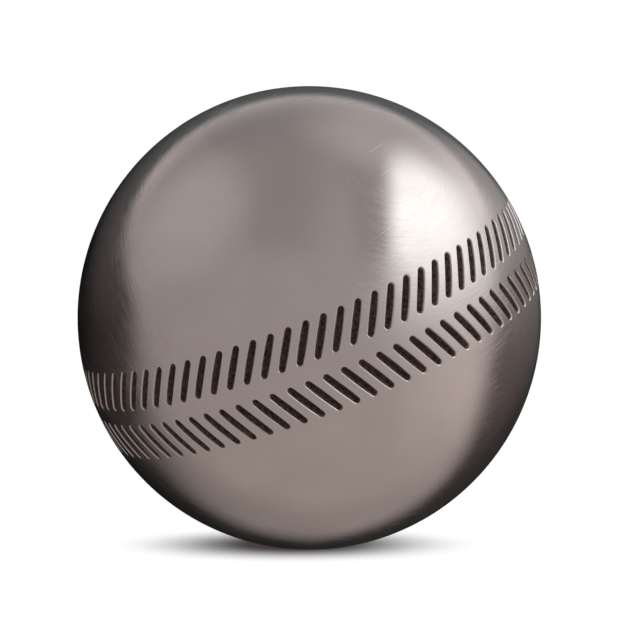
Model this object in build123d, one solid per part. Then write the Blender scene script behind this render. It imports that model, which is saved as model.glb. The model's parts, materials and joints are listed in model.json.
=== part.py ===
from build123d import *
from math import asin, atan2, cos, degrees, pi, radians
import os

# Petanque boule: two steel half shells, butted rim to rim and welded, with nothing inside.
# A belt of stamped slots runs round the ball, one row on each half shell, as chevrons that
# meet at the weld. The ball's centre is the origin, and +Z points up as the ball lies.

# Ball, in millimetres
ball_diameter = 74.0
wall = 6.2

# Weld ring between the two rims
weld_cap_width = 1.6  # outside, ground flush with the ball
weld_root_width = 1.0  # inside, where it leaves the wall
weld_bead_height = 0.5  # how far its root stands into the hollow

# Stamped slots, with lengths measured at the ball's surface
slot_length = 7.0
slot_width = 1.3
slot_depth = 0.85
slot_floor_width = 0.3  # flat at the bottom, between the sloping walls
slot_slant = 30.0  # lean away from straight up the ball, in degrees
slot_land = 1.1  # steel between two slots of a row
slot_weld_margin = 0.3  # steel between the weld and the end of a slot

# How the ball lies, in degrees: the weld nods forward, then leans down to the left
lie_nod = 5.3
lie_lean = 21.5

ball_radius = ball_diameter / 2
hollow_radius = ball_radius - wall
cap_angle = degrees(asin(weld_cap_width / 2 / ball_radius))
root_angle = degrees(asin(weld_root_width / 2 / hollow_radius))

# A row is placed by its middle line, and takes as many slots as its length has room for
slot_rise = (slot_length - slot_width) * cos(radians(slot_slant)) + slot_width
row_latitude = degrees((weld_cap_width / 2 + slot_weld_margin + slot_rise / 2) / ball_radius)
row_length = 2 * pi * ball_radius * cos(radians(row_latitude))
slot_count = round(row_length * cos(radians(slot_slant)) / (slot_width + slot_land))

# The walls slope from the full width at the surface to the floor
slot_flare = slot_width - slot_floor_width
slot_draft = degrees(atan2(slot_flare / 2, slot_depth))


def plain_half_shell():
    """The upper half shell before stamping, with its rim sloped to suit the weld."""
    outside = CenterArc((0, 0), ball_radius, cap_angle, 90 - cap_angle)
    inside = CenterArc((0, 0), hollow_radius, root_angle, 90 - root_angle)
    rim = Line(outside @ 0, inside @ 0)
    pole = Line(outside @ 1, inside @ 1)
    return revolve(Plane.XZ * make_face(outside + inside + rim + pole), Axis.Z)


def weld_ring():
    """The weld metal between the two rims, flush outside and with a round bead inside."""
    cap = CenterArc((0, 0), ball_radius, -cap_angle, 2 * cap_angle)
    root = CenterArc((0, 0), hollow_radius, -root_angle, 2 * root_angle)
    bead = ThreePointArc(root @ 0, (hollow_radius - weld_bead_height, 0), root @ 1)
    flanks = Line(cap @ 0, root @ 0) + Line(cap @ 1, root @ 1)
    return revolve(Plane.XZ * make_face(cap + bead + flanks), Axis.Z)


def slot_punch():
    """The round-ended punch of one slot, as deep outside the surface as inside, narrowing along +Z."""
    face = SlotOverall(slot_length + slot_flare, slot_width + slot_flare)
    return extrude(face, 2 * slot_depth, taper=slot_draft)


def punch_place(longitude):
    """The punch's place over the upper row, pointing at the ball's centre."""
    outward = Vector(0, 0, 1).rotate(Axis.Y, 90 - row_latitude)
    up = Vector(0, 0, 1).rotate(Axis.Y, -row_latitude)
    along = up.rotate(Axis((0, 0, 0), outward), -slot_slant)
    over = Plane(outward * (ball_radius + slot_depth), x_dir=along, z_dir=-outward)
    return Rot(Z=longitude) * over.location


def stamped_half_shell():
    """The upper half shell with its row of slots."""
    punch = slot_punch()
    step = 360 / slot_count
    return plain_half_shell() - [punch_place(step * number) * punch for number in range(slot_count)]


upper_half_shell = stamped_half_shell()
lower_half_shell = mirror(upper_half_shell, about=Plane.XY)
lie = Rot(Y=-lie_lean) * Rot(X=lie_nod)

pieces = {
    "upper_half_shell": upper_half_shell,
    "lower_half_shell": lower_half_shell,
    "weld_seam": weld_ring(),
}

os.makedirs("parts", exist_ok=True)
for name, piece in pieces.items():
    export_step(lie * piece, f"parts/{name}.step")

print(f"{slot_count} slots in each row, {row_latitude:.2f} degrees from the weld")
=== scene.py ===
import json
from math import asin, atan2, cos, pi, radians, sin, tan
import bmesh
import bpy
from mathutils import Matrix, Vector


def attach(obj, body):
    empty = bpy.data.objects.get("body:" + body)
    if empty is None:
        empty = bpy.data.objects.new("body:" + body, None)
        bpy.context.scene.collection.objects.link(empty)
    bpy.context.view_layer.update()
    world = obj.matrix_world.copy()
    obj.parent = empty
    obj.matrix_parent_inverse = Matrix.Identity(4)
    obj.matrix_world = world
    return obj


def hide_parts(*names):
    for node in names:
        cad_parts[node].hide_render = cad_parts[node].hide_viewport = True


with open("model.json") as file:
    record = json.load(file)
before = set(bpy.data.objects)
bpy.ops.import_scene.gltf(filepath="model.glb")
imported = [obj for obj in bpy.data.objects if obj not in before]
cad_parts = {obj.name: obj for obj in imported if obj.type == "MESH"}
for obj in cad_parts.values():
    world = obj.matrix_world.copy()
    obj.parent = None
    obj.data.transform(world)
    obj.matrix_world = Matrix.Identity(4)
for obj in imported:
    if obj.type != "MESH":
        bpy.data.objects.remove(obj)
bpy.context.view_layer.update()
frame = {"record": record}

# A hollow steel boule: two half shells and the weld between them, on a white floor.
# The weld plane is built level, then the pieces are turned to the way the ball lies.

mm = 0.001
mergeDistance = 0.01 * mm  # points nearer than this become one
skinDepth = 0.005 * mm  # a point less deep than this is on the turned skin
poleGap = 0.001  # radians between the last ring and the pole that it is merged into

mounts = {mount["name"]: mount for mount in frame["record"]["mounts"]}
ballRadius = mounts["cup_seat"]["dims"]["r_mm"] * mm

ballLie = {
    "nod": 5.3,  # degrees, weld plane forward
    "lean": 21.5,  # then down to the left
}
leanTurn = Matrix.Rotation(radians(-ballLie["lean"]), 4, "Y")
nodTurn = Matrix.Rotation(radians(ballLie["nod"]), 4, "X")
lieTurn = leanTurn @ nodTurn


def linearColour(hexColour):
    parts = [int(hexColour[i:i + 2], 16) / 255 for i in (1, 3, 5)]
    return [p / 12.92 if p <= 0.04045 else ((p + 0.055) / 1.055) ** 2.4 for p in parts] + [1.0]


# Mix nodes have their sockets by number: 0 is the share, 2 and 3 take numbers, 6 and 7 colours
def addNode(tree, kind, settings, links):
    made = tree.nodes.new(kind)
    for name, value in settings.items():
        setattr(made, name, value)
    for socket, value in links.items():
        if isinstance(value, bpy.types.NodeSocket):
            tree.links.new(value, made.inputs[socket])
        else:
            made.inputs[socket].default_value = value
    return made


def spherePoint(longitude, latitude, radius):
    outward = (cos(latitude) * cos(longitude), cos(latitude) * sin(longitude), sin(latitude))
    return Vector(outward) * radius


# Half shells, and the weld between them

halfShell = {
    "wall": 6.2,  # mm, as all lengths here
    "slotLength": 7.0,
    "slotWidth": 1.3,
    "slotDepth": 0.85,
    "slotFloorWidth": 0.3,  # between the sloping walls
    "slotSlant": 30,  # degrees away from straight up
    "slotCount": 83,
    "slotWeldMargin": 0.3,  # skin between a slot and the weld
    "slotTopMargin": 0.6,  # skin between a slot and the first plain ring
    "lipWidth": 0.14,  # edge that polishing has rounded
    "lipDepth": 0.1,
    "endSides": 12,  # sides of the two round ends together
    "sideCuts": 3,  # in each long side
    "tileColumns": 3,  # sides of a slot's patch of skin along the belt
    "tileRows": 6,  # and up the ball
    "outsideRings": 44,
    "insideRings": 20,
}
weldSeam = {
    "capWidth": 1.6,  # mm outside
    "rootWidth": 1.0,  # mm inside
    "beadHeight": 0.5,
    "beadSteps": 6,
}

hollowRadius = ballRadius - halfShell["wall"] * mm
capLatitude = asin(weldSeam["capWidth"] * mm / 2 / ballRadius)
rootLatitude = asin(weldSeam["rootWidth"] * mm / 2 / hollowRadius)
slotSlant = radians(halfShell["slotSlant"])
slotStraight = halfShell["slotLength"] - halfShell["slotWidth"]
slotRise = (slotStraight * cos(slotSlant) + halfShell["slotWidth"]) * mm
wallSlope = (halfShell["slotWidth"] - halfShell["slotFloorWidth"]) / 2 / halfShell["slotDepth"]
rowHeight = (weldSeam["capWidth"] / 2 + halfShell["slotWeldMargin"]) * mm + slotRise / 2
rowLatitude = rowHeight / ballRadius
tileWidth = 2 * pi * ballRadius * cos(rowLatitude) / halfShell["slotCount"]
tileBottom = (capLatitude - rowLatitude) * ballRadius
tileTop = slotRise / 2 + halfShell["slotTopMargin"] * mm


def slotTile():
    # one slot in its patch of skin, flat: x along the belt, y up the ball, z out of it
    tile = bmesh.new()
    lip = halfShell["lipWidth"] * mm
    sides = halfShell["endSides"]
    reach = (halfShell["slotWidth"] * mm + lip) / 2 / cos(pi / sides)
    stretch = slotStraight * mm / 2
    mouth = bmesh.ops.create_circle(tile, segments=sides, radius=reach)["verts"]
    bmesh.ops.rotate(tile, verts=mouth, matrix=Matrix.Rotation(pi / sides, 3, "Z"))
    bmesh.ops.translate(tile, verts=[v for v in mouth if v.co.y > 0], vec=(0, stretch, 0))
    bmesh.ops.translate(tile, verts=[v for v in mouth if v.co.y < 0], vec=(0, -stretch, 0))
    longSides = [e for e in tile.edges if e.calc_length() > stretch]
    bmesh.ops.subdivide_edges(tile, edges=longSides, cuts=halfShell["sideCuts"])
    # a straight punch on a round ball leaves a slot that narrows towards its ends
    for vert in tile.verts:
        fall = vert.co.y ** 2 / 2 / ballRadius
        vert.co.x *= 1 - fall * wallSlope / reach
    bmesh.ops.rotate(tile, verts=tile.verts[:], matrix=Matrix.Rotation(-slotSlant, 3, "Z"))
    mouthEdges = tile.edges[:]

    # the patch of skin leans with the slot, from the weld's edge to just above the slot
    grid = bmesh.ops.create_grid(
        tile, x_segments=halfShell["tileColumns"], y_segments=halfShell["tileRows"], size=1)["verts"]
    bmesh.ops.delete(tile, geom=[v for v in grid if not v.is_boundary], context="VERTS")
    border = [v for v in tile.verts if not any(e in mouthEdges for e in v.link_edges)]
    for vert in border:
        height = tileBottom + (vert.co.y + 1) / 2 * (tileTop - tileBottom)
        vert.co = (vert.co.x * tileWidth / 2 + height * tan(slotSlant), height, 0)
    bmesh.ops.bridge_loops(tile, edges=tile.edges[:])

    mouthFace = bmesh.ops.edgeloop_fill(tile, edges=mouthEdges)["faces"][0]
    for face in tile.faces:
        if face.normal.z < 0:
            face.normal_flip()
    wallDepth = (halfShell["slotDepth"] - halfShell["lipDepth"]) * mm
    wallRun = (halfShell["slotWidth"] - halfShell["lipWidth"] - halfShell["slotFloorWidth"]) * mm / 2
    for run, depth in ((lip, halfShell["lipDepth"] * mm), (wallRun, wallDepth)):
        bmesh.ops.inset_individual(
            tile, faces=[mouthFace], thickness=run, depth=-depth, use_even_offset=True)
    return tile


def drawRing(mesh, edges, latitude, radius):
    # pulls a new ring of faces from open edges to a latitude on a sphere of this radius
    drawn = bmesh.ops.extrude_edge_only(mesh, edges=edges)["geom"]
    for vert in drawn:
        if isinstance(vert, bmesh.types.BMVert):
            vert.co = spherePoint(atan2(vert.co.y, vert.co.x), latitude, radius)
    return [e for e in drawn if isinstance(e, bmesh.types.BMEdge) and e.is_boundary]


def drawToPole(mesh, edges, start, radius, rings):
    for ring in range(1, rings):
        edges = drawRing(mesh, edges, start + (pi / 2 - start) * ring / rings, radius)
    last = drawRing(mesh, edges, pi / 2 - poleGap, radius)
    rim = list({v for e in last for v in e.verts})
    bmesh.ops.pointmerge(mesh, verts=rim, merge_co=(0, 0, radius))


def stampedHalfShell():
    # a belt of slot tiles, drawn up to the pole outside, then round the rim to the pole inside
    shell = slotTile()
    for vert in shell.verts:
        x, y, z = vert.co
        longitude = x / ballRadius / cos(rowLatitude)
        vert.co = spherePoint(longitude, rowLatitude + y / ballRadius, ballRadius + z)
    count = halfShell["slotCount"]
    everything = shell.verts[:] + shell.edges[:] + shell.faces[:]
    bmesh.ops.spin(
        shell, geom=everything, axis=(0, 0, 1), cent=(0, 0, 0), angle=2 * pi * (count - 1) / count,
        steps=count - 1, use_duplicate=True)
    bmesh.ops.remove_doubles(shell, verts=shell.verts[:], dist=mergeDistance)

    openEdges = [e for e in shell.edges if e.is_boundary]
    middle = ballRadius * sin(rowLatitude)
    top = [e for e in openEdges if e.verts[0].co.z > middle]
    bottom = [e for e in openEdges if e.verts[0].co.z < middle]
    drawToPole(shell, top, rowLatitude + tileTop / ballRadius, ballRadius, halfShell["outsideRings"])
    flank = drawRing(shell, bottom, rootLatitude, hollowRadius)
    drawToPole(shell, flank, rootLatitude, hollowRadius, halfShell["insideRings"])
    return shell


def weldRing():
    ring = bmesh.new()
    sides = halfShell["slotCount"] * halfShell["tileColumns"]  # as many as the shells' rims have
    bmesh.ops.create_circle(ring, segments=sides, radius=ballRadius * cos(capLatitude))
    bmesh.ops.translate(ring, verts=ring.verts[:], vec=(0, 0, -ballRadius * sin(capLatitude)))
    first = ring.edges[:]
    edges = drawRing(ring, first, 0, ballRadius)
    edges = drawRing(ring, edges, capLatitude, ballRadius)
    steps = weldSeam["beadSteps"]
    for step in range(steps + 1):
        across = 1 - 2 * step / steps
        bulge = weldSeam["beadHeight"] * mm * (1 - across * across)
        edges = drawRing(ring, edges, rootLatitude * across, hollowRadius - bulge)
    firstOpen = [e for e in ring.edges if e.is_boundary and e not in edges]
    bmesh.ops.bridge_loops(ring, edges=edges + firstOpen)
    return ring


def steelPiece(name, node, mesh, material):
    bmesh.ops.remove_doubles(mesh, verts=mesh.verts[:], dist=mergeDistance)
    bmesh.ops.recalc_face_normals(mesh, faces=mesh.faces[:])
    bmesh.ops.transform(mesh, matrix=lieTurn, verts=mesh.verts[:])
    for face in mesh.faces:
        face.smooth = True
    data = bpy.data.meshes.new(name)
    mesh.to_mesh(data)
    mesh.free()
    # turned skin is truly round, so its shading is too; slots keep their own
    shading = []
    for vert in data.vertices:
        depth = ballRadius - vert.co.length
        shading.append(vert.co.normalized() if depth < skinDepth else (0, 0, 0))
    data.normals_split_custom_set_from_vertices(shading)
    data.materials.append(material)
    piece = bpy.data.objects.new(name, data)
    bpy.context.scene.collection.objects.link(piece)
    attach(piece, "root")
    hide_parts(node)
    print(f"{name}: {len(data.polygons)} faces")


# Hardened carbon steel, turned and satin polished: a soft mirror, warm grey, with fine round marks of
# the polishing wheel. In the slots and inside, the brown-black scale of hardening is left.
shellSteel = {
    "bright": "#A0938E",
    "dull": "#978985",
    "slant": "#BFC3C5",  # iron mirrors less at a slant than a plain metal curve gives
    "scale": "#251B17",
    "scaleWorn": "#56433A",
    "skinWhole": 0.09,  # mm down the lip of a slot, polished to here
    "skinGone": 0.3,  # mm, nothing but scale from here
    "roughness": 0.16,
    "markBlur": 0.09,  # roughness more or less along a mark
    "cloudBlur": 0.05,
    "beltBlur": 0.1,  # duller along the slots, where the wheel can't bear evenly
    "beltWhole": 6.0,  # mm from the weld
    "beltGone": 13.0,
    "markSpacing": 0.24,  # mm, coarser than real grit lines so that they show
    "markLength": 3.2,  # mm
    "markDepth": 0.01,  # mm
    "polishAxis": (0.323, -0.667, 0.671),
    "straySpacing": 0.5,  # mm, single scratches from handling, also drawn coarser
    "strayLength": 16.0,  # mm
    "strayDepth": 0.007,  # mm
    "strayAxis": (-0.62, 0.15, 0.77),
    "strayBegins": 0.62,  # noise level; a higher one gives fewer scratches
    "strayWhole": 0.74,
    "cloudSize": 9.0,  # mm, where the polishing wheel pressed more or less
    "scaleGrain": 0.5,  # mm
    "wornBegins": 0.35,  # noise level of the grain
    "wornWhole": 0.7,
    "scaleRoughness": 0.6,
    "scaleGloss": 0.2,  # oxide is duller than clean steel
}
# The same polish over weld metal, which is a shade cooler
weldSteel = dict(shellSteel, bright="#9F938F", dull="#968986")

noiseLow = 0.3  # nearly all of a noise lies between these two levels
noiseHigh = 0.7
marksBegin = 0.03  # ball radii from a wheel's axis
marksWhole = 0.2


def ringMarks(tree, place, axis, length, spacing):
    # noise drawn out along circles about an axis, as a wheel leaves it
    turn = Vector(axis).normalized().rotation_difference(Vector((0, 0, 1))).to_euler()
    turned = addNode(tree, "ShaderNodeMapping", {}, {"Vector": place, "Rotation": turn}).outputs["Vector"]
    unit = addNode(tree, "ShaderNodeVectorMath", {"operation": "NORMALIZE"}, {0: turned}).outputs["Vector"]
    split = addNode(tree, "ShaderNodeSeparateXYZ", {}, {"Vector": unit})
    angle = addNode(tree, "ShaderNodeMath", {"operation": "ARCCOSINE"}, {
        0: split.outputs["Z"]}).outputs["Value"]
    ringPlace = addNode(tree, "ShaderNodeCombineXYZ", {}, {
        "X": split.outputs["X"], "Y": split.outputs["Y"], "Z": angle}).outputs["Vector"]
    along = ballRadius / (length * mm)
    across = ballRadius / (spacing * mm)
    ringScaled = addNode(tree, "ShaderNodeVectorMath", {"operation": "MULTIPLY"}, {
        0: ringPlace, 1: (along, along, across)}).outputs["Vector"]
    noise = addNode(tree, "ShaderNodeTexNoise", {}, {
        "Vector": ringScaled, "Scale": 1.0, "Detail": 2.0, "Roughness": 0.55}).outputs["Fac"]
    # hardly any marks near the axis, where the wheel turns on the spot
    ringSize = addNode(tree, "ShaderNodeMath", {"operation": "SINE"}, {0: angle}).outputs["Value"]
    strength = addNode(tree, "ShaderNodeMapRange", {"interpolation_type": "SMOOTHSTEP"}, {
        "Value": ringSize, "From Min": marksBegin, "From Max": marksWhole}).outputs["Result"]
    return addNode(tree, "ShaderNodeMix", {}, {0: strength, 2: 0.5, 3: noise}).outputs[0]


def polishedSteel(name, look):
    material = bpy.data.materials.new(name)
    material.use_nodes = True
    tree = material.node_tree
    shader = tree.nodes["Principled BSDF"]
    shader.inputs["Specular IOR Level"].default_value = look["scaleGloss"]
    shader.inputs["Specular Tint"].default_value = linearColour(look["slant"])
    place = addNode(tree, "ShaderNodeTexCoord", {}, {}).outputs["Object"]

    # polished skin down to the lip of a slot, scale below it
    fromCentre = addNode(tree, "ShaderNodeVectorMath", {"operation": "LENGTH"}, {0: place}).outputs["Value"]
    skin = addNode(tree, "ShaderNodeMapRange", {"interpolation_type": "SMOOTHSTEP"}, {
        "Value": fromCentre, "From Min": ballRadius - look["skinGone"] * mm,
        "From Max": ballRadius - look["skinWhole"] * mm}).outputs["Result"]

    marks = ringMarks(tree, place, look["polishAxis"], look["markLength"], look["markSpacing"])
    strays = ringMarks(tree, place, look["strayAxis"], look["strayLength"], look["straySpacing"])
    strays = addNode(tree, "ShaderNodeMapRange", {"interpolation_type": "SMOOTHSTEP"}, {
        "Value": strays, "From Min": look["strayBegins"], "From Max": look["strayWhole"]}).outputs["Result"]
    clouds = addNode(tree, "ShaderNodeTexNoise", {}, {
        "Vector": place, "Scale": 1 / (look["cloudSize"] * mm), "Detail": 3.0}).outputs["Fac"]
    grain = addNode(tree, "ShaderNodeTexNoise", {}, {
        "Vector": place, "Scale": 1 / (look["scaleGrain"] * mm), "Detail": 2.0}).outputs["Fac"]

    steel = addNode(tree, "ShaderNodeMix", {"data_type": "RGBA"}, {
        0: clouds, 6: linearColour(look["bright"]), 7: linearColour(look["dull"])}).outputs[2]
    worn = addNode(tree, "ShaderNodeMapRange", {}, {
        "Value": grain, "From Min": look["wornBegins"], "From Max": look["wornWhole"]}).outputs["Result"]
    scale = addNode(tree, "ShaderNodeMix", {"data_type": "RGBA"}, {
        0: worn, 6: linearColour(look["scale"]), 7: linearColour(look["scaleWorn"])}).outputs[2]
    colour = addNode(tree, "ShaderNodeMix", {"data_type": "RGBA"}, {0: skin, 6: scale, 7: steel}).outputs[2]

    # clouds and marks make the polish finer or duller, and the belt is duller all along
    polish = addNode(tree, "ShaderNodeMapRange", {}, {
        "Value": clouds, "From Min": noiseLow, "From Max": noiseHigh,
        "To Min": look["roughness"] - look["cloudBlur"],
        "To Max": look["roughness"] + look["cloudBlur"]}).outputs["Result"]
    streak = addNode(tree, "ShaderNodeMapRange", {}, {
        "Value": marks, "From Min": noiseLow, "From Max": noiseHigh,
        "To Min": -look["markBlur"], "To Max": look["markBlur"]}).outputs["Result"]
    polish = addNode(tree, "ShaderNodeMath", {"operation": "ADD"}, {0: polish, 1: streak}).outputs["Value"]
    fromWeld = addNode(tree, "ShaderNodeVectorMath", {"operation": "DOT_PRODUCT"}, {
        0: place, 1: lieTurn @ Vector((0, 0, 1))}).outputs["Value"]
    fromWeld = addNode(tree, "ShaderNodeMath", {"operation": "ABSOLUTE"}, {0: fromWeld}).outputs["Value"]
    belt = addNode(tree, "ShaderNodeMapRange", {"interpolation_type": "SMOOTHSTEP"}, {
        "Value": fromWeld, "From Min": look["beltGone"] * mm, "From Max": look["beltWhole"] * mm,
        "To Max": look["beltBlur"]}).outputs["Result"]
    polish = addNode(tree, "ShaderNodeMath", {"operation": "ADD"}, {0: polish, 1: belt}).outputs["Value"]
    roughness = addNode(tree, "ShaderNodeMix", {}, {
        0: skin, 2: look["scaleRoughness"], 3: polish}).outputs[0]

    # marks stand up and stray scratches go in, on polished skin only
    height = addNode(tree, "ShaderNodeMath", {"operation": "MULTIPLY"}, {
        0: strays, 1: -look["strayDepth"] / look["markDepth"]}).outputs["Value"]
    height = addNode(tree, "ShaderNodeMath", {"operation": "ADD"}, {0: height, 1: marks}).outputs["Value"]
    height = addNode(tree, "ShaderNodeMath", {"operation": "MULTIPLY"}, {
        0: height, 1: skin}).outputs["Value"]
    bump = addNode(tree, "ShaderNodeBump", {}, {
        "Height": height, "Strength": 1.0, "Distance": look["markDepth"] * mm}).outputs["Normal"]

    tree.links.new(colour, shader.inputs["Base Color"])
    tree.links.new(skin, shader.inputs["Metallic"])
    tree.links.new(roughness, shader.inputs["Roughness"])
    tree.links.new(bump, shader.inputs["Normal"])
    return material


shellMaterial = polishedSteel("satinPolishedHardenedSteel", shellSteel)
weldMaterial = polishedSteel("groundAndPolishedWeldSteel", weldSteel)
print("steel polished")

upperShell = stampedHalfShell()
lowerShell = upperShell.copy()
bmesh.ops.scale(lowerShell, vec=(1, 1, -1), verts=lowerShell.verts[:])
steelPiece("upperHalfShell", "upper_half_shell", upperShell, shellMaterial)
steelPiece("lowerHalfShell", "lower_half_shell", lowerShell, shellMaterial)
steelPiece("weldRing", "weld_seam", weldRing(), weldMaterial)

# Floor: white paper with a painted shadow close round the foot of the ball: grey paper under the ball's own
# shadow, cut to a flattened patch

floorPaper = {
    "paintedShadowGrey": "#959595",  # painted shadow: grey paper under the ball that deepens the ball's own shadow; outside it the paper shows flat white
    "reach": 3.0,  # m
    "shadowWhole": 0.20,  # ball radii from the shadow's middle, where it starts to fade
    "shadowGone": 0.82,
    "shadowFlat": 2.2,  # shadow is this much shorter from front to back than from side to side
    "shadowShift": -0.056,  # ball radii to the right of the foot
}


def paperFloor():
    sheet = bmesh.new()
    bmesh.ops.create_grid(sheet, x_segments=1, y_segments=1, size=floorPaper["reach"])
    bmesh.ops.translate(sheet, verts=sheet.verts[:], vec=(0, 0, -ballRadius))
    data = bpy.data.meshes.new("floor")
    sheet.to_mesh(data)
    sheet.free()
    # matt white paper with a painted shadow: grey paper, lit and shadowed by the ball, inside a flattened,
    # shifted patch round the foot; flat white round it
    material = bpy.data.materials.new("whitePaperWithPaintedShadow")
    material.use_nodes = True
    tree = material.node_tree
    tree.nodes.clear()
    place = addNode(tree, "ShaderNodeTexCoord", {}, {}).outputs["Object"]
    flat = addNode(tree, "ShaderNodeVectorMath", {"operation": "MULTIPLY_ADD"}, {
        0: place, 1: (1, floorPaper["shadowFlat"], 0),
        2: (-floorPaper["shadowShift"] * ballRadius, 0, 0)}).outputs["Vector"]
    away = addNode(tree, "ShaderNodeVectorMath", {"operation": "LENGTH"}, {0: flat}).outputs["Value"]
    # painted shadow outline: inside this flattened, shifted patch the floor shows the grey paper and the
    # ball's own shadow, outside it flat white
    paintedShadowFade = addNode(tree, "ShaderNodeMapRange", {"interpolation_type": "SMOOTHSTEP"}, {
        "Value": away, "From Min": floorPaper["shadowWhole"] * ballRadius,
        "From Max": floorPaper["shadowGone"] * ballRadius}).outputs["Result"]
    path = addNode(tree, "ShaderNodeLightPath", {}, {})
    seen = addNode(tree, "ShaderNodeMath", {"operation": "ADD"}, {
        0: path.outputs["Is Camera Ray"], 1: path.outputs["Is Glossy Ray"]}).outputs["Value"]
    seen = addNode(tree, "ShaderNodeMath", {"operation": "ADD", "use_clamp": True}, {
        0: seen, 1: path.outputs["Is Transmission Ray"]}).outputs["Value"]
    white = addNode(tree, "ShaderNodeMath", {"operation": "MULTIPLY"}, {0: seen, 1: paintedShadowFade}).outputs["Value"]
    # painted shadow: the paper under the ball is grey, darker than the white round it
    paintedShadowPaper = addNode(tree, "ShaderNodeBsdfDiffuse", {}, {
        "Color": linearColour(floorPaper["paintedShadowGrey"])}).outputs["BSDF"]
    glow = addNode(tree, "ShaderNodeEmission", {}, {
        "Color": (1, 1, 1, 1), "Strength": 1.0}).outputs["Emission"]
    mixed = addNode(tree, "ShaderNodeMixShader", {}, {0: white, 1: paintedShadowPaper, 2: glow}).outputs["Shader"]
    addNode(tree, "ShaderNodeOutputMaterial", {}, {"Surface": mixed})
    data.materials.append(material)
    floor = bpy.data.objects.new("floor", data)
    bpy.context.scene.collection.objects.link(floor)
    floor.visible_glossy = False  # steel mirrors the studio below instead


paperFloor()
print("floor laid")

# Camera and studio

camera = {
    "distance": 9.5,  # ball radii
    "elevation": 6.5,  # degrees
    "lens": 123.2,
    "aimRight": 1.70,  # mm from the ball's centre
    "aimDown": 0.34,
    "nearest": 0.01,  # m, anything nearer isn't drawn
}
# A white room round the ball, with a soft lamp box at the upper right and a dark far side.
# It lights the ball and is what the steel mirrors; the camera itself sees plain white there.
# Directions are as the camera sees them: right, away, up. A slope is what the level gains along each.
studio = {
    "level": 0.88,
    "slope": (0.06, -0.04, -0.01),
    "lowTint": "#FFFCFA",
    "highTint": "#F6FBFF",
    "tintHeights": (-1.0, 1.0),
    "backBoost": 1.08,  # share added straight behind the ball, which the rim mirrors
    "backOut": 0.36,
    "backIn": 0.97,
}
# Lighter and darker areas: the level that each adds, and its soft edges.
# An edge is a direction, how far that way the area is out, and how far it is in.
studioAreas = {
    "right": (1.2, (
        ((1.0, 0.0, 0.0), 0.4, 1.9),
        ((0.0, 1.0, 0.0), 1.9, 0.9),
    )),
    "left": (0.26, (
        ((-0.75, -0.12, 0.65), 0.8, 1.02),
    )),
    "overhead": (-0.15, (
        ((1.0, 0.0, 0.0), -0.52, -0.38),
        ((1.0, 0.0, 0.0), 0.3, -0.15),
        ((0.0, 0.0, 1.0), 0.4, 0.65),
    )),
    "lampSpill": (0.3, (
        ((0.28, 0.28, 0.92), 0.9, 1.02),
    )),
    "lampFrame": (-0.16, (
        ((1.0, 0.21, 0.0), 0.12, 0.27),
        ((1.0, 0.21, 0.0), 0.45, 0.33),
        ((0.0, 1.0, 0.0), -0.05, -0.3),
        ((0.0, 0.0, 1.0), 0.3, 0.6),
    )),
    "aboveFarSide": (0.2, (
        ((0.0, -0.7, 1.0), 0.4, 0.1),
        ((0.0, 1.0, 0.0), 0.2, 0.5),
        ((0.0, 0.0, 1.0), 0.1, 0.35),
    )),
    "belowFarSide": (-0.36, (
        ((-0.3, 0.9, 1.0), -1.0, 0.1),
        ((0.0, 1.0, 0.0), -0.1, 0.3),
        ((0.0, 0.0, 1.0), 0.0, -0.3),
        ((1.0, 0.0, 0.0), 0.8, 0.0),
    )),
}
farSide = {
    "level": 0.28,
    "slope": (0.13, 0.02, 0.28),
    "deepest": -0.33,  # added straight behind the ball
    "least": 0.208,
    "leastSlope": (0.04, -0.2, 0.0),
    "lowTint": "#FFF6F4",
    "highTint": "#E7F3F7",
    "tintHeights": (0.0, 0.6),
    "leftEdges": (((-0.3, 0.9, 1.0), -0.27, 0.27),),
    "rightEdges": (((0.5, 1.4, 1.0), 0.1, 0.7),),
    "topEdges": (
        ((0.0, -0.7, 1.0), 0.15, -0.01),
        ((-0.06, 1.0, 0.0), -0.1, 0.3),
    ),
}
lampBox = {
    "level": 2.8,
    "colour": "#E6FBFF",
    "farColour": "#FFF8FA",
    "farBegins": 0.3,
    "farWhole": 1.0,
    "edges": (
        ((1.0, 0.21, 0.0), 0.4, 0.57),
        ((1.0, 1.0, 0.0), 1.63, 0.76),
        ((0.0, 0.8, 1.0), 1.22, 0.8),
        ((0.0, 0.0, 1.0), -0.24, 0.73),
        ((0.0, 1.0, 0.0), 0.96, 0.85),
    ),
}


def softArea(tree, direction, edges):
    # 1 inside all the edges, 0 outside any
    area = None
    for side, out, within in edges:
        reach = addNode(tree, "ShaderNodeVectorMath", {"operation": "DOT_PRODUCT"}, {
            0: direction, 1: side}).outputs["Value"]
        edge = addNode(tree, "ShaderNodeMapRange", {"interpolation_type": "SMOOTHSTEP"}, {
            "Value": reach, "From Min": out, "From Max": within}).outputs["Result"]
        if area is not None:
            edge = addNode(tree, "ShaderNodeMath", {"operation": "MULTIPLY"}, {
                0: area, 1: edge}).outputs["Value"]
        area = edge
    return area


def slopedLevel(tree, direction, level, slope):
    gain = addNode(tree, "ShaderNodeVectorMath", {"operation": "DOT_PRODUCT"}, {
        0: direction, 1: slope}).outputs["Value"]
    return addNode(tree, "ShaderNodeMath", {"operation": "ADD"}, {0: gain, 1: level}).outputs["Value"]


def tintedLevel(tree, height, level, look):
    lowest, highest = look["tintHeights"]
    rise = addNode(tree, "ShaderNodeMapRange", {}, {
        "Value": height, "From Min": lowest, "From Max": highest}).outputs["Result"]
    tint = addNode(tree, "ShaderNodeMix", {"data_type": "RGBA"}, {
        0: rise, 6: linearColour(look["lowTint"]), 7: linearColour(look["highTint"])}).outputs[2]
    return addNode(tree, "ShaderNodeVectorMath", {"operation": "SCALE"}, {
        0: tint, "Scale": level}).outputs["Vector"]


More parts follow.
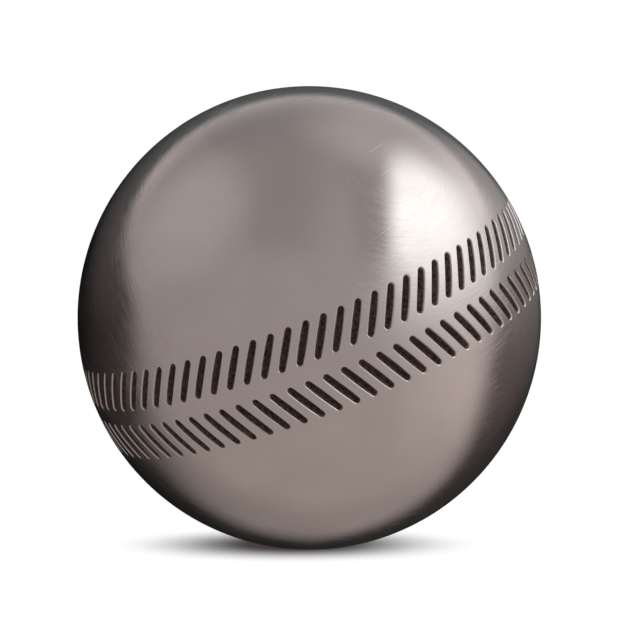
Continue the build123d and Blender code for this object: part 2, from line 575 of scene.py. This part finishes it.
def lightStudio():
    world = bpy.data.worlds.new("studio")
    bpy.context.scene.world = world
    world.use_nodes = True
    tree = world.node_tree
    tree.nodes.clear()
    place = addNode(tree, "ShaderNodeTexCoord", {}, {}).outputs["Generated"]
    direction = addNode(tree, "ShaderNodeMapping", {}, {
        "Vector": place, "Rotation": (radians(camera["elevation"]), 0, 0)}).outputs["Vector"]
    split = addNode(tree, "ShaderNodeSeparateXYZ", {}, {"Vector": direction})
    away = split.outputs["Y"]
    height = split.outputs["Z"]

    level = slopedLevel(tree, direction, studio["level"], studio["slope"])
    for added, edges in studioAreas.values():
        level = addNode(tree, "ShaderNodeMath", {"operation": "MULTIPLY_ADD"}, {
            0: softArea(tree, direction, edges), 1: added, 2: level}).outputs["Value"]
    room = tintedLevel(tree, height, level, studio)

    dark = slopedLevel(tree, direction, farSide["level"], farSide["slope"])
    behind = addNode(tree, "ShaderNodeMath", {"operation": "MULTIPLY"}, {0: away, 1: away}).outputs["Value"]
    dark = addNode(tree, "ShaderNodeMath", {"operation": "MULTIPLY_ADD"}, {
        0: behind, 1: farSide["deepest"], 2: dark}).outputs["Value"]
    least = slopedLevel(tree, direction, farSide["least"], farSide["leastSlope"])
    dark = addNode(tree, "ShaderNodeMath", {"operation": "MAXIMUM"}, {0: dark, 1: least}).outputs["Value"]
    darkRoom = tintedLevel(tree, height, dark, farSide)
    left = softArea(tree, direction, farSide["leftEdges"])
    right = softArea(tree, direction, farSide["rightEdges"])
    top = softArea(tree, direction, farSide["topEdges"])
    far = addNode(tree, "ShaderNodeMath", {"operation": "MAXIMUM"}, {0: left, 1: right}).outputs["Value"]
    far = addNode(tree, "ShaderNodeMath", {"operation": "MULTIPLY"}, {0: far, 1: top}).outputs["Value"]
    surround = addNode(tree, "ShaderNodeMix", {"data_type": "RGBA"}, {
        0: far, 6: room, 7: darkRoom}).outputs[2]

    lamp = addNode(tree, "ShaderNodeMath", {"operation": "MULTIPLY"}, {
        0: softArea(tree, direction, lampBox["edges"]), 1: lampBox["level"]}).outputs["Value"]
    lampFar = addNode(tree, "ShaderNodeMapRange", {}, {
        "Value": away, "From Min": lampBox["farBegins"], "From Max": lampBox["farWhole"]}).outputs["Result"]
    lampTint = addNode(tree, "ShaderNodeMix", {"data_type": "RGBA"}, {
        0: lampFar, 6: linearColour(lampBox["colour"]), 7: linearColour(lampBox["farColour"])}).outputs[2]
    mirrored = addNode(tree, "ShaderNodeVectorMath", {"operation": "MULTIPLY_ADD"}, {
        0: lamp, 1: lampTint, 2: surround}).outputs["Vector"]
    boost = addNode(tree, "ShaderNodeMapRange", {"interpolation_type": "SMOOTHSTEP"}, {
        "Value": away, "From Min": studio["backOut"], "From Max": studio["backIn"],
        "To Min": 1.0, "To Max": 1.0 + studio["backBoost"]}).outputs["Result"]
    mirrored = addNode(tree, "ShaderNodeVectorMath", {"operation": "SCALE"}, {
        0: mirrored, "Scale": boost}).outputs["Vector"]

    path = addNode(tree, "ShaderNodeLightPath", {}, {})
    colour = addNode(tree, "ShaderNodeMix", {"data_type": "RGBA"}, {
        0: path.outputs["Is Camera Ray"], 6: mirrored, 7: (1, 1, 1, 1)}).outputs[2]
    light = addNode(tree, "ShaderNodeBackground", {}, {
        "Color": colour, "Strength": 1.0}).outputs["Background"]
    addNode(tree, "ShaderNodeOutputWorld", {}, {"Surface": light})


def placeCamera():
    tilt = radians(camera["elevation"])
    back = Vector((0, -cos(tilt), sin(tilt)))
    up = Vector((0, sin(tilt), cos(tilt)))
    eye = back * camera["distance"] * ballRadius
    aim = Vector((camera["aimRight"], 0, 0)) * mm - up * camera["aimDown"] * mm
    data = bpy.data.cameras.new("camera")
    data.lens = camera["lens"]
    data.clip_start = camera["nearest"]
    seat = bpy.data.objects.new("camera", data)
    seat.location = eye
    seat.rotation_euler = (aim - eye).to_track_quat("-Z", "Y").to_euler()
    bpy.context.scene.collection.objects.link(seat)
    bpy.context.scene.camera = seat


lightStudio()
placeCamera()
bpy.context.scene.view_settings.view_transform = "Standard"
print("studio lit, camera placed")
